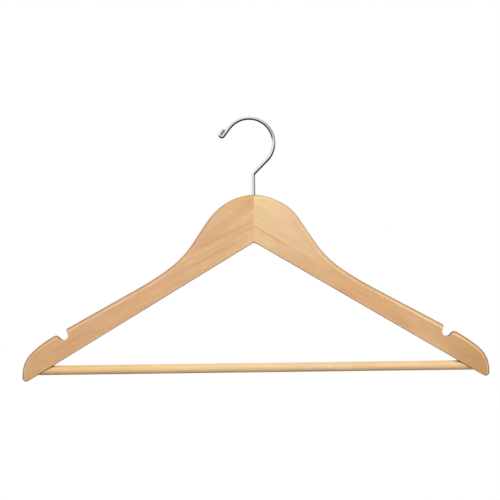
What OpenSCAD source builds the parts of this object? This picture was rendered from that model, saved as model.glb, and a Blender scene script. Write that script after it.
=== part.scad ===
// Flat wooden clothes hanger: two finger-jointed arms, a round trouser bar and a swivelling wire hook.
// Frame: +Z up, front towards -Y. The origin is on the inside of the hook, where it sits on a rail.

/* [Wooden arms] */
// Width from tip to tip
hanger_w = 445; // [420:1:460]
// Thickness of the arms, front to back
arm_t = 12; // [11:0.5:14]
// Height of the wood on the centre joint
neck_h = 45.4; // [44:0.1:50]
// Radius of the crown around the hook
crown_r = 52.5; // [50:1:54]
// Slope of the underside below the horizontal, in degrees
underside_slope = 30.8; // [30:0.1:31.5]
// Rounding of the upper edges, where a garment lies
top_round = 4.3; // [1.5:0.1:4.3]
// Rounding of the underside's edges
under_round = 1.2; // [0.5:0.1:2]
// Rounding of each arm's tip, seen from the front
tip_r = 3.7; // [3.5:0.1:4.5]

/* [Strap notches] */
// Radius of the notch's round floor
notch_r = 4.8; // [4.4:0.1:5]
// Distance of the notch's floor in from the tip
notch_inset = 40.5; // [40:0.1:43]

/* [Trouser bar] */
// Diameter of the bar
bar_d = 9; // [8:0.1:9.5]
// Height of the bar's axis above the middle of the tip's rounding
bar_rise = 6.4; // [6:0.1:8]
// Wood left between the end of the socket and the tip
socket_wall = 8.5; // [7:0.5:10]

/* [Hook] */
// Diameter of the hook's wire
wire_d = 3.3; // [3:0.1:3.6]
// Inside diameter of the hook, which takes the rail
hook_in_d = 44; // [38:0.5:46]
// Height of the hook's middle above the crown
hook_rise = 49.6; // [48:0.1:52]
// Distance of the shank from the hook's middle
shank_offset = 3.8; // [3:0.1:6]

/* [Hidden] */
$fn = 96;
cut = 1; // how far a cutting shape runs past the face it cuts

wood = "burlywood";
steel = "silver";
chrome = "gainsboro";

// Outline of one half, seen from the front, with the crown's top as its own origin
half_w = hanger_w / 2;
flank_slope = 56; // slope of the straight flank between crown and neck
flank_l = 25;
shoulder_slope = 28.6;
shoulder_start = [118, -91.7]; // where the straight shoulder leaves the neck's curve
neck_pull = [20, 44]; // lengths of the neck curve's two handles
end_l = 40; // length of the rounded end, along X
end_pull = [40, 16]; // lengths of the end curve's two handles
crown_steps = 12;
curve_steps = 12;
notch_depth = 4.5; // middle of the notch's round floor below the shoulder line
notch_inner = 157.1; // where the inner wall leaves the floor, anticlockwise from +X
notch_outer = 320; // where the outer wall leaves it
notch_inner_l = 5.4; // lengths of the two walls
notch_outer_l = 3.2;
notch_foot = 0.985; // the walls start this share of the floor's radius out, a little inside it
lip_slope = 11; // the outer wall's top is blunted to this slope
lip_l = 8.4;
notch_top = 14; // how far up the cutting shape reaches
tip_steps = 6;
apex_flat = 0.8; // blunt top of the V in the underside
round_steps = 5;

// Middle of the rounding at the tip: it touches the underside and the tip's upright tangent
tip_c = [half_w - tip_r, underside_z(half_w - tip_r) + tip_r / cos(underside_slope)];

// Finger joint across the thickness, in plan
finger_l = 4; // how far a finger reaches past the joint's middle
finger_count = 2;
finger_tip = 0.1; // share of a finger's pitch that its blunt tip takes
finger_skin = 0.5; // the joint is flat this far in from each face

// Swivel: the shank runs in a bore through the joint and is held by a washer and a nut from below
crown_z = -hook_in_d / 2 - hook_rise;
shank_r = wire_d / 2;
shank_play = 0.05;
pocket_r = 4.5;
pocket_depth = 6.5;
washer_r = 4;
washer_t = 0.8;
nut_flats = 6;
nut_h = 2.8;
thread_pitch = 0.6;
thread_count = 12;
thread_depth = 0.3;
shank_past_nut = 1;
pocket_floor = pocket_depth - neck_h;
shank_end = pocket_floor - washer_t - nut_h - shank_past_nut;

// Hook, in its own plane
hook_r = hook_in_d / 2 + shank_r; // radius of the wire's middle line
hook_lean = 45; // slope of the straight between shank and hook
shank_bend_r = 4;
hook_end = 143; // where the round part ends, anticlockwise from +X
tip_run = 9.2; // straight run from there to the fold
fold_r = shank_r + 0.05; // the wire is folded back on itself
fold_run = 5.2;
end_break = 0.5; // chamfer on the wire's cut end
bend_swell = 0.02; // a bend is this much thicker than the straight wire that runs into it
lap = 0.1; // how far a straight runs into the pieces at its ends

// Trouser bar and its brads
bar_z = tip_c[1] + bar_rise;
socket_end = half_w - socket_wall;
bar_gap = 0.5; // air between the bar's end and the socket's end
bar_break = 0.6;
brad_inset = 5; // brad's distance in from the socket's end
brad_r = 0.6;
brad_head_r = 1.1;
brad_head_h = 0.5;
brad_sunk = 0.2;
brad_l = 9.5;
brad_point = 1.2;

function underside_z(x) = -neck_h - x * tan(underside_slope);
function shoulder_z(x) = shoulder_start[1] - (x - shoulder_start[0]) * tan(shoulder_slope);
// Unit vector that runs right and down at a slope
function down(slope) = [cos(slope), -sin(slope)];
function crown_point(a) = [crown_r * sin(a), crown_r * (cos(a) - 1)];
function bezier(p, t) =
  pow(1 - t, 3) * p[0] + 3 * t * pow(1 - t, 2) * p[1] + 3 * t * t * (1 - t) * p[2] + pow(t, 3) * p[3];
function curve(p) = [for (i = [1:curve_steps]) bezier(p, i / curve_steps)];
function mirrored(points) = [for (i = [len(points) - 1:-1:0]) [-points[i][0], points[i][1]]];

neck_start = crown_point(flank_slope) + flank_l * down(flank_slope);
neck = [
  neck_start,
  neck_start + neck_pull[0] * down(flank_slope),
  shoulder_start - neck_pull[1] * down(shoulder_slope),
  shoulder_start
];
end_start = [half_w - end_l, shoulder_z(half_w - end_l)];
end = [
  end_start,
  end_start + end_pull[0] * down(shoulder_slope),
  [half_w, tip_c[1] + end_pull[1]],
  [half_w, tip_c[1]]
];

// Upper edge of one half, from the crown to the tip's rounding: no corner is on the joint itself
upper_edge = concat(
  [for (i = [1:crown_steps]) crown_point(flank_slope * (i - 0.5) / (crown_steps - 0.5))],
  [neck_start], curve(neck), [end_start], curve(end)
);
tip_turn = 90 + underside_slope;
tip_edge = [
  for (i = [1:tip_steps])
    let (a = -tip_turn * i / tip_steps) tip_c + tip_r * [cos(a), sin(a)]
];
half_outline = concat(upper_edge, tip_edge);
apex = [[apex_flat / 2, underside_z(apex_flat / 2)]];
outline = concat(half_outline, apex, mirrored(apex), mirrored(half_outline));

// Edge rounding at each point: it eases to tip_top along the end, then to under_round around the tip
tip_top = min(top_round, 3);
half_round = concat(
  [for (i = [1:len(upper_edge)]) let (left = (len(upper_edge) - i) / curve_steps)
    tip_top + (top_round - tip_top) * min(1, left)],
  [for (i = [1:tip_steps]) tip_top + (under_round - tip_top) * i / tip_steps]
);
rounding = concat(
  half_round, [under_round, under_round],
  [for (i = [len(half_round) - 1:-1:0]) half_round[i]]
);

function unit(v) = v / norm(v);
// Inward mitre at point i of a closed outline that runs clockwise seen from the front
function mitre(points, i) =
  let (
    n = len(points),
    a = unit(points[i] - points[(i + n - 1) % n]),
    b = unit(points[(i + 1) % n] - points[i]),
    inward = unit([a[1] + b[1], -a[0] - b[0]])
  ) inward / (inward * [a[1], -a[0]]);

// Section of an edge rounding of radius 1, as [distance in, distance down from the face]. The last
// facet runs on past the face, so that the face itself can be cut clean.
arc_section = [for (k = [0:round_steps]) let (a = 90 * k / round_steps) [1 - cos(a), 1 - sin(a)]];
past_face = arc_section[round_steps] + 0.5 * (arc_section[round_steps] - arc_section[round_steps - 1]);
section = concat([for (k = [0:round_steps - 1]) arc_section[k]], [past_face]);

// A plate with the outline and rounded edges: rings of corners run from the front to the back
module rounded_plate(points, radii, thickness) {
  n = len(points);
  front = [for (k = [round_steps:-1:0]) [section[k], -1]];
  back = [for (k = [0:round_steps]) [section[k], 1]];
  rings = concat(front, back);
  mitres = [for (i = [0:n - 1]) mitre(points, i)];
  corners = [
    for (ring = rings, i = [0:n - 1])
      let (
        p = points[i] + mitres[i] * radii[i] * ring[0][0],
        y = ring[1] * (thickness / 2 - radii[i] * ring[0][1])
      ) [p[0], y, p[1]]
  ];
  sides = [
    for (k = [0:len(rings) - 2], i = [0:n - 1])
      let (a = k * n + i, b = k * n + (i + 1) % n)
        each [[a, a + n, b + n], [a, b + n, b]]
  ];
  front_face = [for (i = [0:n - 1]) i];
  back_face = [for (i = [n - 1:-1:0]) (len(rings) - 1) * n + i];
  polyhedron(corners, concat([front_face, back_face], sides), convexity = 6);
}

// Zigzag of the finger joint in plan, from the front face to the back face
finger_y = arm_t / 2 - finger_skin;
finger_pitch = 2 * finger_y / finger_count;
finger_wave = [[0.25 - finger_tip / 2, 1], [0.25 + finger_tip / 2, 1],
               [0.75 - finger_tip / 2, -1], [0.75 + finger_tip / 2, -1]];
finger_line = concat(
  [[0, -arm_t / 2], [0, -finger_y]],
  [for (k = [0:finger_count - 1], w = finger_wave)
    [w[1] * finger_l, -finger_y + (k + w[0]) * finger_pitch]],
  [[0, finger_y], [0, arm_t / 2]]
);

// The blank on one side (-1 left, 1 right) of the finger joint, between the plate's two faces
module joint_side(side) {
  reach = side * (half_w + cut);
  low = tip_c[1] - tip_r - cut;
  translate([0, 0, low])
    linear_extrude(cut - low)
      polygon(concat(finger_line, [[reach, arm_t / 2], [reach, -arm_t / 2]]));
}

// Strap notch in the right shoulder: a round floor, an undercut inner wall and a blunted outer lip
module notch() {
  floor_x = half_w - notch_inset;
  floor_z = shoulder_z(floor_x) - notch_depth;
  foot_r = notch_r * notch_foot;
  inner_foot = foot_r * [cos(notch_inner), sin(notch_inner)];
  inner_top = inner_foot + notch_inner_l * [sin(notch_inner), -cos(notch_inner)];
  outer_foot = foot_r * [cos(notch_outer), sin(notch_outer)];
  outer_top = outer_foot + notch_outer_l * [-sin(notch_outer), cos(notch_outer)];
  lip_end = outer_top + lip_l * [cos(lip_slope), sin(lip_slope)];
  rotate([90, 0, 0])
    linear_extrude(arm_t + 2 * cut, center = true)
      translate([floor_x, floor_z]) {
        circle(r = notch_r);
        polygon([
          inner_foot, inner_top, [inner_top[0], notch_top], [lip_end[0], notch_top],
          lip_end, outer_top, outer_foot
        ]);
      }
}

module along_x(x, z) {
  translate([x, 0, z]) rotate([0, 90, 0]) children();
}

// Points away from the back face, with its own origin on that face
module on_brad_axis() {
  translate([socket_end - brad_inset, arm_t / 2 - brad_sunk, bar_z]) rotate([-90, 0, 0]) children();
}

module brad_hole() {
  on_brad_axis() {
    translate([0, 0, -brad_l]) cylinder(r = brad_r, h = brad_l);
    translate([0, 0, -brad_head_h]) cylinder(r = brad_head_r, h = brad_head_h + brad_sunk + cut);
  }
}

// What the right half loses: the left half loses its mirror image
module half_cuts() {
  notch();
  along_x(half_w / 2, bar_z) cylinder(d = bar_d, h = socket_end - half_w / 2);
  brad_hole();
}

// Bore for the shank, and the pocket for its nut in the underside
module swivel_cuts() {
  translate([0, 0, -neck_h]) cylinder(r = shank_r + shank_play, h = neck_h + cut);
  translate([0, 0, pocket_floor - 2 * neck_h]) cylinder(r = pocket_r, h = 2 * neck_h);
}

module arm(side) {
  difference() {
    intersection() {
      rounded_plate(outline, rounding, arm_t);
      joint_side(side);
    }
    mirror([side < 0 ? 1 : 0, 0, 0]) half_cuts();
    swivel_cuts();
  }
}

// Puts a shape that was drawn from the crown's top where the crown's top is
module at_crown() {
  translate([shank_offset, 0, crown_z]) children();
}

module left_arm() {
  color(wood) at_crown() arm(-1);
}

module right_arm() {
  color(wood) at_crown() arm(1);
}

module trouser_bar() {
  half = socket_end - bar_gap;
  color(wood)
    at_crown()
      difference() {
        union() {
          along_x(bar_break - half, bar_z) cylinder(d = bar_d, h = 2 * (half - bar_break));
          for (side = [0, 1])
            mirror([side, 0, 0])
              along_x(half - bar_break, bar_z)
                cylinder(d1 = bar_d, d2 = bar_d - 2 * bar_break, h = bar_break);
        }
        for (side = [0, 1]) mirror([side, 0, 0]) brad_hole();
      }
}

module brad() {
  on_brad_axis() {
    translate([0, 0, -brad_head_h]) cylinder(r = brad_head_r, h = brad_head_h);
    translate([0, 0, brad_point - brad_l]) cylinder(r = brad_r, h = brad_l - brad_point - brad_head_h);
    translate([0, 0, -brad_l]) cylinder(r1 = 0.1, r2 = brad_r, h = brad_point);
  }
}

module left_bar_brad() {
  color(steel) at_crown() mirror([1, 0, 0]) brad();
}

module right_bar_brad() {
  color(steel) at_crown() brad();
}

// Straight wire from a point of the hook's plane, at an angle anticlockwise from +X
module wire(from, angle, length) {
  translate([from[0], 0, from[1]])
    rotate([0, 90 - angle, 0])
      translate([0, 0, -lap])
        cylinder(d = wire_d, h = length + 2 * lap);
}

// Bent wire around a point of the hook's plane, anticlockwise from angle a to angle b
module bend(centre, radius, a, b) {
  translate([centre[0], 0, centre[1]])
    rotate([90, 0, 0])
      rotate([0, 0, a])
        rotate_extrude(angle = b - a) translate([radius, 0]) circle(d = wire_d + bend_swell);
}

// Threaded end of the shank: rings stand for the thread, and point is the chamfer below them
module thread() {
  root = shank_r - thread_depth;
  rings = [
    for (i = [0:thread_count - 1])
      each [[root, (i + 0.5) * thread_pitch], [shank_r, (i + 1) * thread_pitch]]
  ];
  rotate_extrude()
    polygon(concat([[0, 0], [root, 0]], rings, [[0, thread_count * thread_pitch]]));
}

function polar(radius, angle) = radius * [cos(angle), sin(angle)];

module hook() {
  middle = [0, -hook_in_d / 2];
  lean_start = middle + polar(hook_r, -hook_lean);
  corner_z = lean_start[1] - (lean_start[0] - shank_offset) * tan(hook_lean);
  bend_cut = shank_bend_r * tan((90 - hook_lean) / 2); // tangent length of the shank's bend
  thread_l = thread_count * thread_pitch;
  shank_low = crown_z + shank_end + thread_l;
  bend_low = corner_z - bend_cut;
  lean_low = [shank_offset, corner_z] + polar(bend_cut, hook_lean);
  arc_end = middle + polar(hook_r, hook_end);
  tip_angle = hook_end + 90;
  fold = arc_end + polar(tip_run, tip_angle);
  fold_c = fold + polar(fold_r, hook_end);
  back = fold_c + polar(fold_r, hook_end);
  color(chrome) {
    translate([shank_offset, 0, shank_low - thread_l]) thread();
    wire([shank_offset, shank_low], 90, bend_low - shank_low);
    bend([shank_offset + shank_bend_r, bend_low], shank_bend_r, 90 + hook_lean, 180);
    wire(lean_low, hook_lean, norm(lean_start - lean_low));
    bend(middle, hook_r, -hook_lean, hook_end);
    wire(arc_end, tip_angle, tip_run);
    bend(fold_c, fold_r, hook_end - 360, hook_end - 180);
    wire(back, tip_angle - 180, fold_run);
    translate([back[0], 0, back[1]])
      rotate([0, 90 - (tip_angle - 180), 0])
        translate([0, 0, fold_run])
          translate([0, 0, lap])
            cylinder(d1 = wire_d, d2 = wire_d - 2 * end_break, h = end_break);
  }
}

module thrust_washer() {
  color(steel)
    translate([shank_offset, 0, crown_z + pocket_floor - washer_t])
      difference() {
        cylinder(r = washer_r, h = washer_t);
        translate([0, 0, -cut]) cylinder(r = shank_r + shank_play, h = washer_t + 2 * cut);
      }
}

module lock_nut() {
  corner_r = nut_flats / 2 / cos(30);
  color(steel)
    translate([shank_offset, 0, crown_z + pocket_floor - washer_t - nut_h])
      difference() {
        intersection() {
          cylinder(r = corner_r, h = nut_h, $fn = 6);
          cylinder(r1 = nut_flats / 2 * 0.97, r2 = nut_flats / 2 * 0.97 + 2 * nut_h, h = nut_h);
        }
        translate([0, 0, -cut]) cylinder(r = shank_r, h = nut_h + 2 * cut);
      }
}

left_arm();
right_arm();
trouser_bar();
left_bar_brad();
right_bar_brad();
hook();
thrust_washer();
lock_nut();
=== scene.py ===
"""Looks of a flat wooden clothes hanger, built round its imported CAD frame. Metres, +Z up, front to -Y."""

import bisect
import math

import bmesh
import bpy
from mathutils import Matrix, Vector


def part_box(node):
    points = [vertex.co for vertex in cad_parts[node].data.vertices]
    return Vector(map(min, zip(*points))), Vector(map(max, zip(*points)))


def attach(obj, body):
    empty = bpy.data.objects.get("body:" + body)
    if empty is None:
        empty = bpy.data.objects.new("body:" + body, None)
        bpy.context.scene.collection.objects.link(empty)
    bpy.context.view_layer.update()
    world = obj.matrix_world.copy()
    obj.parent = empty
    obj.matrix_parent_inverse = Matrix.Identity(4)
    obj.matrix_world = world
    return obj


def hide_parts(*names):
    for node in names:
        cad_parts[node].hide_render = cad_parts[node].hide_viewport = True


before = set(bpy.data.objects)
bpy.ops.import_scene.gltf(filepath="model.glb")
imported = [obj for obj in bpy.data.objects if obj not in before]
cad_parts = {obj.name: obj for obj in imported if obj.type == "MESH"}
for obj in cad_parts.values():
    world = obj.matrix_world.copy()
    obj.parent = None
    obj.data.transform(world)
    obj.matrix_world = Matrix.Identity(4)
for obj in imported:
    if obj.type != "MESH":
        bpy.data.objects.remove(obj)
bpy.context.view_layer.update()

MM = 0.001
WOOD_BODY = "wood_group"
HOOK_BODY = "hook_group"

# ---------------------------------------------------------------- places, read from the CAD frame
washer_lo, washer_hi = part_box("thrust_washer")
nut_lo, nut_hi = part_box("lock_nut")
arm_lo, arm_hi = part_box("right_arm")
bar_lo, bar_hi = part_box("trouser_bar")
hook_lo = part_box("hook")[0]
brad_lo, brad_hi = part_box("right_bar_brad")

SEAM_X = (washer_lo.x + washer_hi.x) / 2
CROWN_Z = washer_hi.z + 38.9 * MM  # the pocket's floor is 38.9 mm under the crown
ARM_T = (arm_hi.y - arm_lo.y) / MM
HALF_W = (arm_hi.x - SEAM_X) / MM
BAR_Z = (bar_lo.z + bar_hi.z) / 2
BAR_R = (bar_hi.z - bar_lo.z) / 2
WIRE_R = 1.65 * MM
LOWEST = (arm_lo.z - CROWN_Z) / MM

# ---------------------------------------------------------------- the arm's outline, mm from the crown's top
NECK_H = 45.4
CROWN_R = 52.5
CROWN_FROM = math.radians(5.2)  # the outline starts here, past the joint
UNDER_TO = 7.0  # and ends here on the underside
UNDER_SLOPE = math.radians(30.8)
FLANK_SLOPE = math.radians(56)
FLANK_L = 25
SHOULDER_SLOPE = math.radians(28.6)
SHOULDER_START = (118, -91.7)
NECK_PULL = (20, 44)
END_L = 40
END_PULL = (40, 16)
END_RUN = 56.0  # length of the end's curve, along which the edge rounding eases
TIP_R = 3.7
TOP_ROUND = 4.3
TIP_ROUND = 3.0  # the upper edges' rounding where the tip begins
UNDER_ROUND = 1.2
NOTCH_ROUND = 0.55  # rounding of the notch's own edges
NOTCH_R = 4.8
NOTCH_INSET = 40.5
NOTCH_OUT = {-1: 1.2, 1: 0.5}  # how much further out each real notch lies
NOTCH_DEPTH = 4.5
NOTCH_WALLS = math.radians(157.1), math.radians(320)  # where the walls leave the round floor
NOTCH_REACH = (9.0, 15.0)  # how far in and out of the notch the rings are drawn again
LIP_EASE = (1.5, 2.9)  # how far the inner and outer lips are blunted to each side
RUN_STEPS, LIP_STEPS, FLOOR_STEPS = 6, (7, 8), 34  # steps beside the notch, over its lips and round its floor
CROWN_SHIFT = 0.9  # the crown's round sits this far right of the joint
CROWN_FADE = (-32, -6)  # heights between which that comes in
RIGHT_SLIM = 1.0  # the right arm's upper edge lies this much lower than the left one's
SLIM_FROM = 4.0  # where that begins, from the joint
RAMP = 18.0  # length over which either comes in
FINGER_L = 4.0  # how far the joint's fingers reach past its middle
FINGER_SKIN = 0.5  # flat part of the joint under each face
FINGER_TIP = 0.1  # flat of a finger's tip, as a share of its pitch


def down(slope, length=1.0):
    return (math.cos(slope) * length, -math.sin(slope) * length)


def underside_z(x):
    return -NECK_H - abs(x) * math.tan(UNDER_SLOPE)


def shoulder_z(x):
    return SHOULDER_START[1] - (x - SHOULDER_START[0]) * math.tan(SHOULDER_SLOPE)


def crown_z(x):
    return math.sqrt(CROWN_R ** 2 - x * x) - CROWN_R


def add(p, q):
    return (p[0] + q[0], p[1] + q[1])


def bezier(p, t):
    u = 1 - t
    k = (u ** 3, 3 * t * u * u, 3 * t * t * u, t ** 3)
    return tuple(sum(k[i] * p[i][a] for i in range(4)) for a in (0, 1))


def smooth(t):
    """0 below 0 and 1 above 1, with a soft step between."""
    t = max(0.0, min(1.0, t))
    return t * t * (3 - 2 * t)


def evenly(a, b, steps):
    """Numbers from a to b in even steps, both ends included."""
    return [a + (b - a) * k / steps for k in range(steps + 1)]


def notch_path(spare, out):
    """The notch from lip to lip, with its walls drawn past them: `spare` mm wider, `out` mm further out."""
    fx = HALF_W - NOTCH_INSET + out
    c = (fx, shoulder_z(fx) - NOTCH_DEPTH)
    inner_a, outer_a = NOTCH_WALLS
    r = NOTCH_R + spare
    wall = 14  # long enough to pass the shoulder
    floor = [add(c, (r * math.cos(a), r * math.sin(a))) for a in evenly(inner_a, outer_a, 48)]
    inner_up = (math.sin(inner_a), -math.cos(inner_a))
    outer_up = (-math.sin(outer_a), math.cos(outer_a))
    inner_top = add(floor[0], (wall * inner_up[0], wall * inner_up[1]))
    outer_top = add(floor[-1], (wall * outer_up[0], wall * outer_up[1]))
    return [inner_top] + floor + [outer_top]


def marks(path):
    """Distance along a polyline at each of its points."""
    run = [0.0]
    for p, q in zip(path, path[1:]):
        run.append(run[-1] + math.dist(p, q))
    return run


def along(path, run, at):
    """The point `at` mm along a polyline."""
    i = min(max(bisect.bisect_right(run, at) - 1, 0), len(path) - 2)
    t = (at - run[i]) / (run[i + 1] - run[i])
    return tuple(path[i][k] + (path[i + 1][k] - path[i][k]) * t for k in (0, 1))


def stretch(path, run, start, stop, steps):
    """Evenly spaced points of a polyline between two distances along it."""
    return [along(path, run, at) for at in evenly(start, stop, steps)]


def crossings(path, path_run, other, other_run):
    """Where two polylines cross, as distances along each."""
    found = []
    for i, (a, b) in enumerate(zip(path, path[1:])):
        for j, (c, d) in enumerate(zip(other, other[1:])):
            if max(a[0], b[0]) < min(c[0], d[0]) or min(a[0], b[0]) > max(c[0], d[0]):
                continue
            ab = (b[0] - a[0], b[1] - a[1])
            cd = (d[0] - c[0], d[1] - c[1])
            ac = (c[0] - a[0], c[1] - a[1])
            det = ab[0] * cd[1] - ab[1] * cd[0]
            if abs(det) < 1e-12:
                continue
            t = (ac[0] * cd[1] - ac[1] * cd[0]) / det
            u = (ac[0] * ab[1] - ac[1] * ab[0]) / det
            if 0 <= t <= 1 and 0 <= u <= 1:
                found.append((path_run[i] + t * math.dist(a, b), other_run[j] + u * math.dist(c, d)))
    return sorted(found)


def blunt(a, corner, b, steps):
    """A curve from a to b in place of a corner, without its two ends."""
    out = []
    for t in evenly(0, 1, steps)[1:-1]:
        share_a, share_corner, share_b = (1 - t) ** 2, 2 * t * (1 - t), t * t
        out.append(tuple(share_a * a[i] + share_corner * corner[i] + share_b * b[i] for i in (0, 1)))
    return out


def cut_notch(edge, spare, out):
    """One ring's upper edge with the notch let into it. Every ring gets the same number of points."""
    edge_run = marks(edge)
    notch = notch_path(spare, out)
    notch_run = marks(notch)
    meet = crossings(edge, edge_run, notch, notch_run)
    (edge_in, notch_in), (edge_out, notch_out) = meet[0], meet[-1]
    room = 0.3 * (notch_out - notch_in)  # the lips' curves leave the floor free between them
    ease_in, ease_out = (min(ease, room) for ease in LIP_EASE)
    first = stretch(edge, edge_run, 0, edge_in - ease_in, RUN_STEPS)
    middle = stretch(notch, notch_run, notch_in + ease_in, notch_out - ease_out, FLOOR_STEPS)
    last = stretch(edge, edge_run, edge_out + ease_out, edge_run[-1], RUN_STEPS)
    inner_lip = blunt(first[-1], along(edge, edge_run, edge_in), middle[0], LIP_STEPS[0])
    outer_lip = blunt(middle[-1], along(edge, edge_run, edge_out), last[0], LIP_STEPS[1])
    return first + inner_lip + middle + outer_lip + last


def arm_outline():
    """Upper edge, tip and underside of the right half, past the seam, as (x, z, edge rounding)."""
    crown = [
        (CROWN_R * math.sin(a), CROWN_R * (math.cos(a) - 1))
        for a in evenly(CROWN_FROM, FLANK_SLOPE, 26)
    ]
    flank = [add(crown[-1], down(FLANK_SLOPE, run)) for run in evenly(0, FLANK_L, 6)[1:-1]]
    neck_start = add(crown[-1], down(FLANK_SLOPE, FLANK_L))
    neck_points = (
        neck_start,
        add(neck_start, down(FLANK_SLOPE, NECK_PULL[0])),
        add(SHOULDER_START, down(SHOULDER_SLOPE, -NECK_PULL[1])),
        SHOULDER_START,
    )
    neck = [bezier(neck_points, t) for t in evenly(0, 1, 44)]
    tip_c = (HALF_W - TIP_R, underside_z(HALF_W - TIP_R) + TIP_R / math.cos(UNDER_SLOPE))
    end_start = (HALF_W - END_L, shoulder_z(HALF_W - END_L))
    shoulder = [(x, shoulder_z(x)) for x in evenly(SHOULDER_START[0], end_start[0], 20)[1:-1]]
    end_points = (
        end_start,
        add(end_start, down(SHOULDER_SLOPE, END_PULL[0])),
        (HALF_W, tip_c[1] + END_PULL[1]),
        (HALF_W, tip_c[1]),
    )
    end = [bezier(end_points, t) for t in evenly(0, 1, 60)]
    path = crown + flank + neck + shoulder + end
    run = marks(path)
    out = []
    for p, s in zip(path, run):
        r = TIP_ROUND + (TOP_ROUND - TIP_ROUND) * min(1, (run[-1] - s) / END_RUN)
        out.append((p[0], p[1], r))
    for t in evenly(0, 1, 24)[1:]:
        a = -(math.pi / 2 + UNDER_SLOPE) * t
        z = max(tip_c[1] + TIP_R * math.sin(a), LOWEST)
        out.append((tip_c[0] + TIP_R * math.cos(a), z, TIP_ROUND + (UNDER_ROUND - TIP_ROUND) * smooth(t)))
    for x in evenly(out[-1][0], UNDER_TO, 40)[1:]:
        out.append((x, underside_z(x), UNDER_ROUND))
    return out


def seam_x(y):
    """Where the finger joint is at a depth y in mm: flat at both faces, with two fingers between."""
    pitch = ARM_T / 2 - FINGER_SKIN
    if abs(y) >= pitch:
        return 0.0
    lines = [(-pitch, 0.0)]
    for k in (0, 1):
        for at, way in ((0.25 - FINGER_TIP / 2, 1), (0.25 + FINGER_TIP / 2, 1),
                        (0.75 - FINGER_TIP / 2, -1), (0.75 + FINGER_TIP / 2, -1)):
            lines.append((-pitch + (k + at) * pitch, way * FINGER_L))
    lines.append((pitch, 0.0))
    for (y0, x0), (y1, x1) in zip(lines, lines[1:]):
        if y0 <= y <= y1:
            return x0 + (x1 - x0) * (y - y0) / (y1 - y0)
    return 0.0


def turns(segments):
    """Angles once round a circle."""
    return [2 * math.pi * k / segments for k in range(segments)]


def bridge(bm, a, b):
    """Faces between two closed rings of points. Either ring may be a single point."""
    segments = max(len(a), len(b))
    for k in range(segments):
        m = (k + 1) % segments
        if len(a) == 1:
            bm.faces.new((a[0], b[m], b[k]))
        elif len(b) == 1:
            bm.faces.new((a[k], a[m], b[0]))
        else:
            bm.faces.new((a[k], a[m], b[m], b[k]))


def skin(bm, rings):
    """Faces over a row of rings, with a flat cap on each end."""
    for a, b in zip(rings, rings[1:]):
        bridge(bm, a, b)
    bm.faces.new(list(reversed(rings[0])))
    bm.faces.new(rings[-1])


def finish_mesh(bm, name):
    """An object from the built faces, turned to face outwards."""
    bmesh.ops.recalc_face_normals(bm, faces=bm.faces)
    mesh = bpy.data.meshes.new(name)
    bm.to_mesh(mesh)
    bm.free()
    obj = bpy.data.objects.new(name, mesh)
    bpy.context.scene.collection.objects.link(obj)
    return obj


# the outline's rings: how far each lies under a face, closer together where the edges are round
RING_DEPTHS = (0, 0.07, 0.24, 0.5, 1.05, 1.6, 2.15, 2.7, 3.25, 3.8, 4.35, 4.9)
LEVELS = [ARM_T / 2 - depth for depth in RING_DEPTHS]
CAP_POINTS = 4


def inset(r, y):
    """How far an edge that is rounded by r lies inside the outline, y mm from the middle."""
    past = max(0.0, abs(y) - (ARM_T / 2 - r))
    return r - math.sqrt(max(0.0, r * r - past * past))


def as_made(x, z, side):
    """A point of the outline, moved by what isn't the same on the two real arms."""
    high = smooth((z - CROWN_FADE[0]) / (CROWN_FADE[1] - CROWN_FADE[0]))
    shift = side * CROWN_SHIFT * high * smooth(x / RAMP)
    share = smooth((x - SLIM_FROM) / RAMP) * smooth((HALF_W - x) / RAMP)
    share *= smooth((z - underside_z(x)) / RAMP)
    slim = RIGHT_SLIM if side > 0 else 0.0
    return (x + shift, z - slim * share)


def arm_ring(base, inward, side, y):
    """One arm's outline at a depth y: (x, z) points once round, from the joint's upper end."""
    seam = side * seam_x(y)
    drop = inset(TOP_ROUND, y)
    ring = [(seam, crown_z(seam) - drop)]
    for x in evenly(seam, base[0][0], CAP_POINTS)[1:-1]:
        ring.append((x - drop * x / CROWN_R, crown_z(x) - drop))
    edge = []
    for (x, z, r), n in zip(base, inward):
        edge.append((x + n[0] * inset(r, y), z + n[1] * inset(r, y)))
    notch_x = HALF_W - NOTCH_INSET
    cut_from = next(i for i, p in enumerate(base) if p[0] > notch_x - NOTCH_REACH[0])
    cut_to = next(i for i, p in enumerate(base) if p[0] > notch_x + NOTCH_REACH[1])
    notched = cut_notch(edge[cut_from:cut_to], inset(NOTCH_ROUND, y), NOTCH_OUT[side])
    for x, z in edge[:cut_from] + notched + edge[cut_to:]:
        ring.append(as_made(x, z, side))
    for x in evenly(base[-1][0], seam, CAP_POINTS)[1:]:
        ring.append((x, underside_z(x) + inset(UNDER_ROUND, y) / math.cos(UNDER_SLOPE)))
    return ring


def build_arm(name, side):
    """One arm as a closed mesh: rings of the outline run from the front face to the back face."""
    base = arm_outline()
    inward = []
    for i in range(len(base)):
        a = base[max(i - 1, 0)]
        b = base[min(i + 1, len(base) - 1)]
        d = Vector((b[0] - a[0], b[1] - a[1])).normalized()
        inward.append((d.y, -d.x))
    bm = bmesh.new()
    rings = []
    for y in [-level for level in LEVELS] + [0.0] + LEVELS[::-1]:
        ring = arm_ring(base, inward, side, y)
        rings.append([bm.verts.new((SEAM_X + side * x * MM, y * MM, CROWN_Z + z * MM)) for x, z in ring])
    skin(bm, rings)
    return finish_mesh(bm, name)


def smooth_by_angle(obj, degrees, weighted=True):
    obj.data.shade_smooth()
    obj.data.set_sharp_from_angle(angle=math.radians(degrees))
    if weighted:
        mod = obj.modifiers.new("Face weighted normals", "WEIGHTED_NORMAL")
        mod.mode = "FACE_AREA"
        mod.keep_sharp = True


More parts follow.
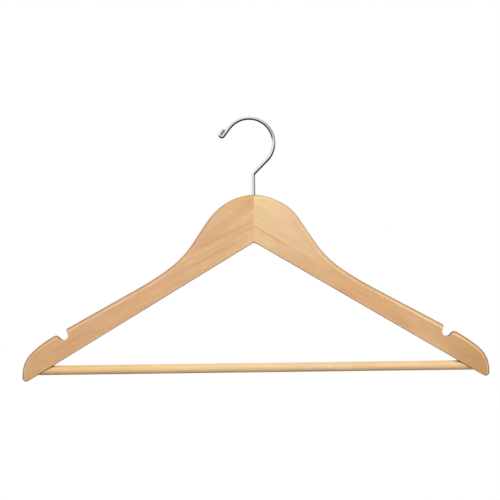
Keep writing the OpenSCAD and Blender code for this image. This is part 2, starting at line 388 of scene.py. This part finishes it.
def lathe(name, profile, centre, axis, segments=64, closed=False):
    """Turns (radius, height) points round an axis. `closed` joins the last point to the first."""
    bm = bmesh.new()
    turn = Vector((0, 0, 1)).rotation_difference(Vector(axis)).to_matrix()
    rings = []
    for r, h in profile:
        if r < 1e-9:
            rings.append([bm.verts.new(Vector(centre) + turn @ Vector((0, 0, h)))])
            continue
        rings.append([
            bm.verts.new(Vector(centre) + turn @ Vector((r * math.cos(t), r * math.sin(t), h)))
            for t in turns(segments)
        ])
    for a, b in zip(rings, rings[1:]):
        bridge(bm, a, b)
    if closed:
        bridge(bm, rings[-1], rings[0])
    return finish_mesh(bm, name)


def rod(name, low_r, high_r, low, high, centre, axis, segments):
    """A solid round rod along an axis, from one height and radius to another."""
    return lathe(name, [(0, low), (low_r, low), (high_r, high), (0, high)], centre, axis, segments)


def cut(obj, cutters):
    """Takes the cutters out of the object for good, and removes them."""
    for c in cutters:
        mod = obj.modifiers.new("cut", "BOOLEAN")
        mod.operation = "DIFFERENCE"
        mod.solver = "EXACT"
        mod.object = c
    graph = bpy.context.evaluated_depsgraph_get()
    made = bpy.data.meshes.new_from_object(obj.evaluated_get(graph))
    old = obj.data
    obj.modifiers.clear()
    obj.data = made
    made.name = obj.name
    bpy.data.meshes.remove(old)
    for c in cutters:
        mesh = c.data
        bpy.data.objects.remove(c)
        bpy.data.meshes.remove(mesh)


# ---------------------------------------------------------------- wood
BORE_R = WIRE_R + 0.05 * MM
POCKET_R = 4.5 * MM
POCKET_FLOOR = washer_hi.z + 0.02 * MM  # a hair of air over the washer
SOCKET_END = HALF_W - 8.5
SOCKET_PLAY = 0.04 * MM
BRAD_X = (brad_lo.x + brad_hi.x) / 2 - SEAM_X
BRAD_HEAD_R = 1.1 * MM
BRAD_R = 0.6 * MM
BACK_Y = arm_hi.y
PAST = 60 * MM  # the bore and the pocket run down by this much, out of the wood


def make_arm(name, side):
    arm = build_arm(name, side)
    up = (0, 0, 1)
    socket_l = SOCKET_END * MM / 2
    socket_at = (SEAM_X + side * socket_l, 0, BAR_Z)
    brad_at = (SEAM_X + side * BRAD_X, BACK_Y, BAR_Z)
    cutters = [
        rod("cut_bore", BORE_R, BORE_R, -PAST, 10 * MM, (SEAM_X, 0, CROWN_Z), up, 48),
        rod("cut_pocket", POCKET_R, POCKET_R, -PAST, 0, (SEAM_X, 0, POCKET_FLOOR), up, 64),
        rod("cut_socket", BAR_R + SOCKET_PLAY, BAR_R + SOCKET_PLAY, 0, socket_l, socket_at, (side, 0, 0), 96),
        rod("cut_brad", BRAD_HEAD_R * 1.04, BRAD_HEAD_R * 1.12, -1.5 * MM, 1 * MM, brad_at, (0, 1, 0), 32),
    ]
    cut(arm, cutters)
    smooth_by_angle(arm, 38)
    return arm


left_arm = make_arm("Left_Arm", -1)
right_arm = make_arm("Right_Arm", 1)

BAR_END = (bar_hi.x - bar_lo.x) / 2
BAR_CHAMFER = 0.6 * MM
BAR_STEPS = 60


def build_bar():
    """A dowel with broken ends that is a hair thinner in places."""
    straight = BAR_END - BAR_CHAMFER
    profile = [(0, -BAR_END), (BAR_R - BAR_CHAMFER, -BAR_END), (BAR_R, -straight)]
    for h in evenly(-straight, straight, BAR_STEPS)[1:-1]:
        ripple = 0.02 * MM * (math.sin(h * 71) * math.cos(h * 33) - 1)
        profile.append((BAR_R + ripple, h))
    profile += [(BAR_R, straight), (BAR_R - BAR_CHAMFER, BAR_END), (0, BAR_END)]
    bar = lathe("Trouser_Bar", profile, (SEAM_X, 0, BAR_Z), (1, 0, 0), 64)
    smooth_by_angle(bar, 38)
    return bar


trouser_bar = build_bar()


# ---------------------------------------------------------------- hook
HOOK_IN_R = 22.0 * MM
HOOK_LINE_R = HOOK_IN_R + WIRE_R
HOOK_END_A = math.radians(143)
HOOK_LEAN = math.radians(45)
SHANK_BEND_R = 4 * MM
TIP_RUN = 9.2 * MM
FOLD_R = WIRE_R + 0.05 * MM
FOLD_RUN = 5.2 * MM
THREAD_PITCH = 0.6 * MM
THREAD_DEPTH = 0.3 * MM
THREAD_L = 12 * THREAD_PITCH
SHANK_CHAMFER = 0.45 * MM
WIRE_SEGMENTS = 36
WIRE_END = ((0.2, 0.97), (0.36, 0.88), (0.5, 0.72))  # the cut end's broken edge: mm past, share of the radius


def line(p, q, steps):
    """Points from p to q, without p."""
    return [p.lerp(q, t) for t in evenly(0, 1, steps)[1:]]


def arc(centre, r, start, stop, steps):
    """Points round a centre from one angle to another, without the first."""
    return [centre + r * Vector((math.cos(a), math.sin(a))) for a in evenly(start, stop, steps)[1:]]


def hook_path():
    """The wire's middle line as (x, z), from the shank's lower end to the folded tip."""
    mid = Vector((0, -HOOK_IN_R))
    lean_start = mid + HOOK_LINE_R * Vector((math.cos(HOOK_LEAN), -math.sin(HOOK_LEAN)))
    corner_z = lean_start.y - (lean_start.x - SEAM_X) * math.tan(HOOK_LEAN)
    tangent = SHANK_BEND_R * math.tan((math.pi / 2 - HOOK_LEAN) / 2)
    foot = Vector((SEAM_X, hook_lo.z))
    thread_top = foot + Vector((0, THREAD_L + THREAD_PITCH))
    bend = Vector((SEAM_X, corner_z - tangent))
    pts = [foot] + line(foot, thread_top, 150) + line(thread_top, bend, 19)
    pts += arc(bend + Vector((SHANK_BEND_R, 0)), SHANK_BEND_R, math.pi, math.pi / 2 + HOOK_LEAN, 12)
    pts += line(pts[-1], lean_start, 8)
    pts += arc(mid, HOOK_LINE_R, -HOOK_LEAN, HOOK_END_A, 96)
    out = Vector((math.cos(HOOK_END_A), math.sin(HOOK_END_A)))
    way = Vector((-out.y, out.x))
    fold = pts[-1] + way * TIP_RUN
    pts += line(pts[-1], fold, 8)
    pts += arc(fold + out * FOLD_R, FOLD_R, HOOK_END_A + math.pi, HOOK_END_A, 20)
    return pts + line(pts[-1], pts[-1] - way * FOLD_RUN, 6)


def groove(h, t):
    """How deep the thread is cut at a height and an angle: 0 on its crest, 1 at its root."""
    turn = (h / THREAD_PITCH - t / (2 * math.pi)) % 1.0
    return 1 - abs(2 * turn - 1)


def build_hook():
    """The wire, with a cut thread and a chamfer on its lower end and a broken edge on its folded end."""
    pts = hook_path()
    bm = bmesh.new()

    def wire_point(p, side, r, t):
        return bm.verts.new((p.x + side.x * r * math.cos(t), r * math.sin(t), p.y + side.y * r * math.cos(t)))

    rings = []
    for i, p in enumerate(pts):
        d = (pts[min(i + 1, len(pts) - 1)] - pts[max(i - 1, 0)]).normalized()
        side = Vector((d.y, -d.x))  # to the right of the way along
        h = p.y - pts[0].y
        ring = []
        for t in turns(WIRE_SEGMENTS):
            r = WIRE_R
            if h < THREAD_L:
                run_out = smooth((THREAD_L - h) / (1.5 * THREAD_PITCH))
                r -= THREAD_DEPTH * groove(h, t) * run_out
                r = min(r, WIRE_R - SHANK_CHAMFER + h * 0.9)
            ring.append(wire_point(p, side, r, t))
        rings.append(ring)
    for past, share in WIRE_END:
        rings.append([wire_point(p + d * past * MM, side, WIRE_R * share, t) for t in turns(WIRE_SEGMENTS)])
    skin(bm, rings)
    made = finish_mesh(bm, "Hook")
    smooth_by_angle(made, 40, weighted=False)
    return made


hook = build_hook()

# ---------------------------------------------------------------- washer, nut and brads
WASHER_R = (washer_hi.x - washer_lo.x) / 2
WASHER_T = washer_hi.z - washer_lo.z
EASE = 0.12 * MM  # how far the washer's edges are eased
HAIR = 0.03 * MM  # how far the middle of that easing lies inside the corner
washer = lathe(
    "Thrust_Washer",
    [(BORE_R + EASE, 0), (WASHER_R - EASE, 0), (WASHER_R - HAIR, HAIR), (WASHER_R, EASE),
     (WASHER_R, WASHER_T - EASE), (WASHER_R - HAIR, WASHER_T - HAIR), (WASHER_R - EASE, WASHER_T),
     (BORE_R + EASE, WASHER_T), (BORE_R, WASHER_T - EASE), (BORE_R, EASE)],
    (SEAM_X, 0, washer_lo.z), (0, 0, 1), 64, closed=True)
smooth_by_angle(washer, 30)


def build_nut():
    """Hexagon with a chamfered lower rim, a collar for the locking ring and a threaded bore."""
    flats = (nut_hi.y - nut_lo.y) / 2
    height = nut_hi.z - nut_lo.z
    sixth = math.pi / 3

    def outer(t, limit):
        from_flat = t % sixth - sixth / 2
        return min(flats / math.cos(from_flat), limit)

    # outside, from the collar's lower rim up: limit on the radius as a share of the flats, height in mm
    rows = [(0.62, 0.0), (0.80, 0.0), (0.86, 0.12), (0.87, 0.55), (0.985, 0.62)]
    rows += [(0.985 + 0.18 * k / 6, 0.62 + 0.42 * k / 6) for k in range(1, 7)]
    top = height / MM
    rows.append((1.2, top - 0.25))
    rows += [(1.155 - 0.15 * k / 4, top - 0.25 + 0.25 * k / 4) for k in range(1, 5)]
    segments, bore_steps = 96, 44
    bm = bmesh.new()
    rings = []
    for share, h in rows:
        radii = [(t, outer(t, flats * share)) for t in turns(segments)]
        rings.append([
            bm.verts.new((SEAM_X + r * math.cos(t), r * math.sin(t), nut_lo.z + h * MM)) for t, r in radii
        ])
    for k in range(bore_steps + 1):
        h = height * (1 - k / bore_steps)
        mouth = smooth(min(h, height - h) / (0.3 * MM))
        widened = WIRE_R + 0.02 * MM + 0.25 * MM * (1 - mouth)
        radii = [(t, widened - THREAD_DEPTH * 0.5 * groove(h, t)) for t in turns(segments)]
        rings.append([
            bm.verts.new((SEAM_X + r * math.cos(t), r * math.sin(t), nut_lo.z + h)) for t, r in radii
        ])
    for a, b in zip(rings, rings[1:] + rings[:1]):
        bridge(bm, a, b)
    made = finish_mesh(bm, "Lock_Nut")
    smooth_by_angle(made, 28)
    return made


nut = build_nut()


def build_brad(name, side):
    lo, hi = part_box("left_bar_brad" if side < 0 else "right_bar_brad")
    length = (hi.y - lo.y) / MM
    # from the head's face inwards: share of the head's or the shank's radius, depth in mm
    head = [(0, 0), (0.5, 0.02), (0.85, 0.09), (1, 0.22), (0.97, 0.38)]
    ridges = [(1.15, 0.5), (1, 0.75), (0.94, 1.0), (1, 1.25), (0.94, 1.5), (1, 1.75)]
    point = [(1, length - 1.2), (0.55, length - 0.55), (0.12, length), (0, length)]
    profile = [(BRAD_HEAD_R * share, -depth * MM) for share, depth in head]
    profile += [(BRAD_R * share, -depth * MM) for share, depth in ridges + point]
    brad = lathe(name, profile, ((lo.x + hi.x) / 2, hi.y, BAR_Z), (0, 1, 0), 32)
    smooth_by_angle(brad, 35)
    return brad


left_brad = build_brad("Left_Bar_Brad", -1)
right_brad = build_brad("Right_Bar_Brad", 1)


# ---------------------------------------------------------------- materials
def srgb(*rgb):
    """A display colour, 0 to 255, as the linear one that the nodes take."""
    share = [v / 255 for v in rgb]
    return tuple(v / 12.92 if v <= 0.04045 else ((v + 0.055) / 1.055) ** 2.4 for v in share)


class Graph:
    """A short way to write a material's nodes."""

    def __init__(self, name):
        self.material = bpy.data.materials.new(name)
        self.material.use_nodes = True
        self.tree = self.material.node_tree
        self.tree.nodes.clear()
        self.out = self.node("ShaderNodeOutputMaterial")
        self.shader = self.node("ShaderNodeBsdfPrincipled")
        self.tree.links.new(self.shader.outputs[0], self.out.inputs["Surface"])

    def node(self, kind, **fields):
        made = self.tree.nodes.new(kind)
        for k, v in fields.items():
            setattr(made, k, v)
        return made

    def link(self, a, b):
        self.tree.links.new(a, b)

    def place(self, turn=0.0, scale=(1, 1, 1), about=(0, 0, 0)):
        """Object coordinates about a point, turned about Y by `turn` and then scaled."""
        shift = self.node("ShaderNodeVectorMath", operation="SUBTRACT")
        shift.inputs[1].default_value = about
        self.link(self.node("ShaderNodeTexCoord").outputs["Object"], shift.inputs[0])
        spin = self.node("ShaderNodeVectorRotate", rotation_type="Y_AXIS")
        spin.inputs["Angle"].default_value = turn
        self.link(shift.outputs[0], spin.inputs["Vector"])
        size = self.node("ShaderNodeMapping", vector_type="POINT")
        size.inputs["Scale"].default_value = scale
        self.link(spin.outputs[0], size.inputs["Vector"])
        return size.outputs[0]

    def split(self, vector):
        s = self.node("ShaderNodeSeparateXYZ")
        self.link(vector, s.inputs[0])
        return s.outputs

    def noise(self, vector, scale, detail=4.0, rough=0.55, warp=0.0, offset=None):
        if offset is not None:
            shift = self.node("ShaderNodeVectorMath", operation="ADD")
            shift.inputs[1].default_value = offset
            self.link(vector, shift.inputs[0])
            vector = shift.outputs[0]
        n = self.node("ShaderNodeTexNoise")
        n.inputs["Scale"].default_value = scale
        n.inputs["Detail"].default_value = detail
        n.inputs["Roughness"].default_value = rough
        n.inputs["Distortion"].default_value = warp
        self.link(vector, n.inputs["Vector"])
        return n.outputs["Fac"]

    def ramp(self, value, stops, mode="LINEAR"):
        r = self.node("ShaderNodeValToRGB")
        r.color_ramp.interpolation = mode
        while len(r.color_ramp.elements) < len(stops):
            r.color_ramp.elements.new(0.5)
        for e, (at, c) in zip(r.color_ramp.elements, stops):
            e.position = at
            e.color = (*c, 1) if isinstance(c, tuple) else (c, c, c, 1)
        self.link(value, r.inputs["Fac"])
        return r.outputs["Color"]

    def span(self, value, a, b, to_a=0.0, to_b=1.0):
        m = self.node("ShaderNodeMapRange", clamp=True)
        for k, v in zip(("From Min", "From Max", "To Min", "To Max"), (a, b, to_a, to_b)):
            m.inputs[k].default_value = v
        self.link(value, m.inputs["Value"])
        return m.outputs["Result"]

    def math(self, how, a, b=0.0):
        m = self.node("ShaderNodeMath", operation=how)
        for k, v in enumerate((a, b)):
            if isinstance(v, (int, float)):
                m.inputs[k].default_value = v
            else:
                self.link(v, m.inputs[k])
        return m.outputs[0]

    def mix(self, how, fac, a, b):
        """Blends two colours, which are the mix node's sockets 6 and 7."""
        m = self.node("ShaderNodeMix", data_type="RGBA", blend_type=how)
        for key, v in ((0, fac), (6, a), (7, b)):
            if isinstance(v, (int, float)):
                m.inputs[key].default_value = v
            elif isinstance(v, tuple):
                m.inputs[key].default_value = (*v, 1)
            else:
                self.link(v, m.inputs[key])
        return m.outputs[2]

    def axis(self, index):
        return self.split(self.node("ShaderNodeTexCoord").outputs["Object"])[index]

    def product(self, *values):
        out = values[0]
        for v in values[1:]:
            out = self.math("MULTIPLY", out, v)
        return out

    def bump(self, height, strength, distance):
        b = self.node("ShaderNodeBump")
        b.inputs["Strength"].default_value = strength
        b.inputs["Distance"].default_value = distance
        self.link(height, b.inputs["Height"])
        self.link(b.outputs[0], self.shader.inputs["Normal"])


def wood(name, turn, tones, seed, rings, fleck, ends, bands=(), edge=1.0):
    """Pale lacquered wood whose grain lies along X once turned by `turn`.

    tones: (position, colour) stops between the two X values in `ends`.
    bands: grain lines and darker strips, as (middle, half width, softness, from, to, colour, strength) in mm,
    the middle measured across the grain and from/to along it, both from the crown's top.
    rings, fleck, edge: how much the growth rings, the flecks and the painted shade and highlight on the edges
    show."""
    g = Graph(name)
    offset = (seed * 3.1, seed * 1.7, seed * 2.3)

    def grain(scale):
        """Coordinates along the grain, across the thickness and across the grain, scaled along the grain."""
        return g.place(turn, (scale, 1, 1), (SEAM_X, 0, CROWN_Z))

    def tinted(colour, value, low, high):
        """The colour times a tint that runs between two (value, tint) stops."""
        return g.mix("MULTIPLY", 1.0, colour, g.ramp(value, [low, high]))

    u, depth, v = g.split(grain(1))
    # broad tone along the piece
    drift = g.noise(grain(0.55), 26, 3, 0.5, 0.3, offset)
    place = g.math("ADD", g.span(g.axis(0), *ends), g.product(g.math("SUBTRACT", drift, 0.5), 0.06))
    base = g.ramp(place, tones)
    # soft cloudy patches, longer along the grain
    cloud = g.noise(grain(0.30), 75, 4, 0.55, 0.4, offset)
    base = tinted(base, cloud, (0.30, (0.93, 0.91, 0.885)), (0.70, (1.05, 1.06, 1.075)))
    # growth rings cut along: wavy lines with a sharper dark side, present in some places only
    warp = g.noise(grain(0.10), 34, 3, 0.5, 0.0, offset)
    wave = g.product(g.math("SUBTRACT", warp, 0.5), 0.012)
    phase = g.math("ADD", g.product(g.math("ADD", v, g.product(wave, 1.6)), 210.0), g.product(depth, 60.0))
    ring = g.ramp(g.math("FRACT", phase), [(0.0, 0.0), (0.60, 0.2), (0.88, 1.0), (1.0, 0.0)], "EASE")
    patchy = g.span(g.noise(grain(0.2), 45, 2, 0.5, 0.0, (seed, 7.7, 1.3)), 0.38, 0.66)
    base = g.mix("MULTIPLY", g.product(ring, patchy, rings), base, (0.84, 0.75, 0.66))
    band_fade = 9 * MM
    for middle, half, soft, start, stop, colour, strength in bands:
        off = g.math("ABSOLUTE", g.math("SUBTRACT", g.math("ADD", v, g.product(wave, 0.35)), middle * MM))
        across = g.span(off, (half + soft) * MM, half * MM)
        first = g.span(u, start * MM - band_fade, start * MM + band_fade)
        second = g.span(u, stop * MM + band_fade, stop * MM - band_fade)
        base = g.mix("MULTIPLY", g.product(across, first, second, strength), base, colour)
    # fibres and fine streaks
    streak = g.noise(grain(0.06), 420, 3, 0.6, 0.0, offset)
    base = tinted(base, streak, (0.30, (0.955, 0.935, 0.905)), (0.70, (1.03, 1.035, 1.04)))
    mottle = g.noise(grain(0.4), 330, 2, 0.6, 0.0, offset)
    base = tinted(base, mottle, (0.32, (0.97, 0.965, 0.95)), (0.68, (1.02, 1.025, 1.035)))
    fibre = g.noise(grain(0.05), 1900, 2, 0.6, 0.0, offset)
    # short dark flecks along the grain
    dash = g.node("ShaderNodeTexVoronoi", feature="F1")
    dash.inputs["Scale"].default_value = 900
    g.link(grain(0.22), dash.inputs["Vector"])
    spot = g.product(g.ramp(dash.outputs["Distance"], [(0.10, 1.0), (0.22, 0.0)]), g.span(streak, 0.42, 0.6))
    base = g.mix("MULTIPLY", g.product(spot, fleck), base, (0.72, 0.60, 0.48))
    # painted shade: the narrow sides are painted darker, where they turn from the light, less so on the crown
    normal = g.node("ShaderNodeTexCoord").outputs["Normal"]
    flat = g.math("ABSOLUTE", g.split(normal)[1])
    aside = g.math("ABSOLUTE", g.math("SUBTRACT", g.axis(0), SEAM_X))
    painted_edge_strength = g.product(g.span(aside, 50 * MM, 100 * MM, 0.5, 1.0), edge)
    base = g.mix("MULTIPLY", g.product(g.span(flat, 0.88, 0.62), painted_edge_strength), base, (0.70, 0.67, 0.64))
    # end grain drinks it in
    dot = g.node("ShaderNodeVectorMath", operation="DOT_PRODUCT")
    dot.inputs[1].default_value = (math.cos(turn), 0, math.sin(turn))
    g.link(normal, dot.inputs[0])
    end_grain = g.span(g.math("ABSOLUTE", dot.outputs["Value"]), 0.66, 0.92)
    base = g.mix("MULTIPLY", end_grain, base, (0.62, 0.50, 0.40))
    # painted highlight: the rounded edges are painted a little paler, as a band of light on them, and made a
    # little rougher
    rounded = g.product(g.span(flat, 0.999, 0.98), g.span(flat, 0.82, 0.92))
    painted_highlight_band = g.product(rounded, g.span(cloud, 0.25, 0.60), g.span(painted_edge_strength, 0.5, 1.0))
    base = g.mix("MIX", g.product(painted_highlight_band, 0.50), base, (1.0, 0.82, 0.57))
    g.link(base, g.shader.inputs["Base Color"])
    sheen = g.math("ADD", g.product(cloud, 0.5), g.product(fibre, 0.5))
    rough = g.math("ADD", g.span(sheen, 0.3, 0.7, 0.38, 0.56), g.product(painted_highlight_band, 0.10))
    g.link(rough, g.shader.inputs["Roughness"])
    relief = g.math("ADD", g.product(fibre, 0.6), g.product(spot, -0.5))
    g.bump(g.math("ADD", relief, g.product(ring, -0.15)), 0.35, 0.06 * MM)
    g.shader.inputs["Specular IOR Level"].default_value = 0.4
    g.shader.inputs["Coat Weight"].default_value = 0.22
    g.shader.inputs["Coat Roughness"].default_value = 0.28
    g.shader.inputs["Coat IOR"].default_value = 1.45
    return g.material


def metal(name, colour, rough_low, rough_high, tint, draw_scale, relief):
    """Bare or plated metal: faint draw marks, cloudy polish and small stains."""
    g = Graph(name)
    fine = g.noise(g.place(scale=draw_scale), 900, 3, 0.6)
    cloud = g.noise(g.place(), 160, 4, 0.6, 0.5)
    base = g.mix("MIX", g.span(cloud, 0.45, 0.75), colour, tint)
    g.link(base, g.shader.inputs["Base Color"])
    polish = g.math("ADD", g.math("MULTIPLY", fine, 0.5), g.math("MULTIPLY", cloud, 0.5))
    g.link(g.span(polish, 0.3, 0.7, rough_low, rough_high), g.shader.inputs["Roughness"])
    g.shader.inputs["Metallic"].default_value = 1.0
    g.bump(fine, relief, 0.02 * MM)
    return g.material


LEFT_END, RIGHT_END = SEAM_X - HALF_W * MM, SEAM_X + HALF_W * MM
LEFT_GRAIN, RIGHT_GRAIN = math.radians(27), math.radians(-30)
GRAIN_LINE = (0.86, 0.76, 0.64)

# tones from each piece's left end to its right end
LEFT_TONES = (
    (0.0, srgb(222, 181, 132)),
    (0.12, srgb(221, 175, 125)),
    (0.3, srgb(222, 176, 131)),
    (0.5, srgb(225, 178, 134)),
    (0.72, srgb(223, 179, 135)),
    (0.88, srgb(223, 182, 138)),
    (1.0, srgb(229, 187, 143)),
)
RIGHT_TONES = (
    (0.0, srgb(238, 205, 158)),
    (0.16, srgb(230, 193, 151)),
    (0.3, srgb(225, 183, 137)),
    (0.45, srgb(225, 178, 128)),
    (0.62, srgb(223, 178, 131)),
    (0.76, srgb(222, 179, 133)),
    (0.88, srgb(210, 163, 114)),
    (1.0, srgb(205, 155, 102)),
)
BAR_TONES = (
    (0.0, srgb(238, 193, 138)),
    (0.22, srgb(243, 203, 149)),
    (0.5, srgb(246, 214, 168)),
    (0.8, srgb(245, 208, 160)),
    (1.0, srgb(240, 199, 146)),
)
LEFT_BANDS = (
    (-4, 5, 6, -18, 6, (0.93, 0.86, 0.77), 1.0),
    (-22, 0.5, 1.4, -70, -12, GRAIN_LINE, 0.35),
    (-33, 0.6, 1.6, -90, -30, GRAIN_LINE, 0.3),
)
RIGHT_BANDS = (
    (-26.5, 0.3, 1.1, 14, 52, (0.80, 0.68, 0.54), 0.60),
    (-17, 0.3, 1.4, 8, 36, GRAIN_LINE, 0.35),
    (-38, 10, 3, -10, 80, (0.93, 0.885, 0.82), 0.9),
)
left_wood = wood(
    "wood_left_arm", LEFT_GRAIN, LEFT_TONES, seed=1.0, rings=0.34, fleck=0.30,
    ends=(LEFT_END, SEAM_X), bands=LEFT_BANDS)
right_wood = wood(
    "wood_right_arm", RIGHT_GRAIN, RIGHT_TONES, seed=4.0, rings=0.36, fleck=0.26,
    ends=(SEAM_X, RIGHT_END), bands=RIGHT_BANDS)
bar_wood = wood(
    "wood_trouser_bar", 0.0, BAR_TONES, seed=9.0, rings=0.22, fleck=0.18,
    ends=(LEFT_END, RIGHT_END), edge=0.1)
chrome = metal("chrome_wire", (0.80, 0.81, 0.83), 0.05, 0.16, (0.74, 0.745, 0.76), (1, 1, 1), 0.05)
zinc = metal("zinc_plate", (0.62, 0.62, 0.62), 0.26, 0.46, (0.55, 0.54, 0.50), (0.2, 0.2, 1), 0.25)
brad_steel = metal("brad_steel", (0.52, 0.52, 0.53), 0.30, 0.50, (0.42, 0.40, 0.37), (1, 0.3, 1), 0.3)

for obj, material, body, node, slot in (
    (left_arm, left_wood, WOOD_BODY, "left_arm", "wood_left"),
    (right_arm, right_wood, WOOD_BODY, "right_arm", "wood_right"),
    (trouser_bar, bar_wood, WOOD_BODY, "trouser_bar", "wood_bar"),
    (left_brad, brad_steel, WOOD_BODY, "left_bar_brad", "brad_steel"),
    (right_brad, brad_steel, WOOD_BODY, "right_bar_brad", "brad_steel"),
    (hook, chrome, HOOK_BODY, "hook", "hook_chrome"),
    (washer, zinc, HOOK_BODY, "thrust_washer", "zinc_steel"),
    (nut, zinc, HOOK_BODY, "lock_nut", "zinc_steel"),
):
    obj.data.materials.clear()
    obj.data.materials.append(material)
    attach(obj, body)
    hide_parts(node)

# ---------------------------------------------------------------- floor, light and camera
FLOOR_Z = -0.62
FLOOR_R = 1.05


def build_floor():
    """A round pale sheet under the hanger, small enough to stay below the front view."""
    bm = bmesh.new()
    rings, segments = 12, 96
    rows = [[bm.verts.new((0, 0, FLOOR_Z))]]
    for i in range(1, rings + 1):
        r = FLOOR_R * i / rings
        rows.append([bm.verts.new((r * math.cos(t), r * math.sin(t), FLOOR_Z)) for t in turns(segments)])
    for inner, outer in zip(rows, rows[1:]):
        bridge(bm, outer, inner)
    return finish_mesh(bm, "floor")


def pale_floor():
    """A matt sheet that glows white towards its rim and so fades into the white background."""
    g = Graph("pale_floor")
    speck = g.noise(g.place(), 14, 3, 0.5)
    g.link(g.ramp(speck, [(0.3, 0.80), (0.7, 0.83)]), g.shader.inputs["Base Color"])
    g.shader.inputs["Roughness"].default_value = 0.9
    length = g.node("ShaderNodeVectorMath", operation="LENGTH")
    g.link(g.place(about=(0, 0, FLOOR_Z)), length.inputs[0])
    # the rim glows: white emission on a sheet that is no lamp
    white = g.node("ShaderNodeEmission")
    fade = g.node("ShaderNodeMixShader")
    g.link(g.span(length.outputs["Value"], 0.35 * FLOOR_R, 0.96 * FLOOR_R), fade.inputs[0])
    g.link(g.shader.outputs[0], fade.inputs[1])
    g.link(white.outputs[0], fade.inputs[2])
    g.link(fade.outputs[0], g.out.inputs["Surface"])
    return g.material


floor = build_floor()
floor.visible_glossy = False
floor.visible_diffuse = False
floor.data.materials.append(pale_floor())

ROOM_LIGHT = 0.43  # what the room gives matt surfaces; the key gives the rest


def build_world():
    """White to the camera. Metal mirrors white above and to the left, grey to the right and dark below."""
    world = bpy.data.worlds.new("studio")
    bpy.context.scene.world = world
    world.use_nodes = True
    t = world.node_tree
    t.nodes.clear()
    coord = t.nodes.new("ShaderNodeTexCoord")
    parts = t.nodes.new("ShaderNodeSeparateXYZ")
    t.links.new(coord.outputs["Generated"], parts.inputs[0])

    def span(value, a, b, lo, hi):
        m = t.nodes.new("ShaderNodeMapRange")
        m.interpolation_type = "SMOOTHSTEP"
        for key, v in zip(("From Min", "From Max", "To Min", "To Max"), (a, b, lo, hi)):
            m.inputs[key].default_value = v
        t.links.new(value, m.inputs["Value"])
        return m.outputs["Result"]

    def times(a, b):
        m = t.nodes.new("ShaderNodeMath")
        m.operation = "MULTIPLY"
        t.links.new(a, m.inputs[0])
        t.links.new(b, m.inputs[1])
        return m.outputs[0]

    def light(value, strength=1.0):
        """Light whose grey comes from `value`, or white light."""
        bg = t.nodes.new("ShaderNodeBackground")
        bg.inputs["Strength"].default_value = strength
        bg.inputs["Color"].default_value = (1, 1, 1, 1)
        if value is not None:
            t.links.new(value, bg.inputs["Color"])
        return bg.outputs[0]

    def choose(test, no, yes):
        mix = t.nodes.new("ShaderNodeMixShader")
        t.links.new(test, mix.inputs[0])
        t.links.new(no, mix.inputs[1])
        t.links.new(yes, mix.inputs[2])
        return mix.outputs[0]

    rise = span(parts.outputs[2], -0.20, 0.10, 0.03, 1.0)
    across = span(parts.outputs[0], 0.05, 0.85, 1.0, 0.34)
    back = span(parts.outputs[1], 0.10, 0.95, 1.0, 0.50)
    mirrored = light(times(times(rise, across), back))
    matt = light(span(parts.outputs[2], -0.5, 0.5, 1.0, 0.42), ROOM_LIGHT)
    path = t.nodes.new("ShaderNodeLightPath").outputs
    seen = choose(path["Is Glossy Ray"], matt, mirrored)
    seen = choose(path["Is Camera Ray"], seen, light(None))
    out = t.nodes.new("ShaderNodeOutputWorld")
    t.links.new(seen, out.inputs["Surface"])


build_world()


def softbox(name, place, target, size, power):
    data = bpy.data.lights.new(name, "AREA")
    data.shape = "RECTANGLE"
    data.size, data.size_y = size
    data.energy = power
    light = bpy.data.objects.new(name, data)
    light.location = place
    light.rotation_mode = "QUATERNION"
    light.rotation_quaternion = (Vector(target) - Vector(place)).to_track_quat("-Z", "Y")
    bpy.context.scene.collection.objects.link(light)
    light.visible_camera = False
    light.visible_glossy = False


CENTRE = Vector((0, 0, -0.13))
softbox("key", (0.28, -1.50, 0.98), CENTRE, (1.1, 0.7), 34)
softbox("back_fill", (-0.3, 1.7, 0.9), CENTRE, (1.6, 1.2), 16)

LENS, SENSOR = 100.0, 36.0
VIEW_W = 476.55 * MM  # width of the view at the depth of the outline that is seen
OUTLINE_Y = -3.0 * MM
AIM = Vector((SEAM_X - 4.12 * MM, 0, CROWN_Z - 52.66 * MM))
ROLL = math.radians(0.75)
cam_data = bpy.data.cameras.new("camera")
cam_data.lens, cam_data.sensor_width = LENS, SENSOR
cam_data.clip_start, cam_data.clip_end = 0.05, 50
camera = bpy.data.objects.new("camera", cam_data)
bpy.context.scene.collection.objects.link(camera)
camera.location = AIM + Vector((0, OUTLINE_Y - VIEW_W * LENS / SENSOR, 0))
camera.rotation_mode = "QUATERNION"
camera.rotation_quaternion = (
    Vector((0, 1, 0)).to_track_quat("-Z", "Z") @ Matrix.Rotation(-ROLL, 3, "Z").to_quaternion()
)
bpy.context.scene.camera = camera
bpy.context.scene.view_settings.view_transform = "Standard"
bpy.context.scene.view_settings.look = "None"
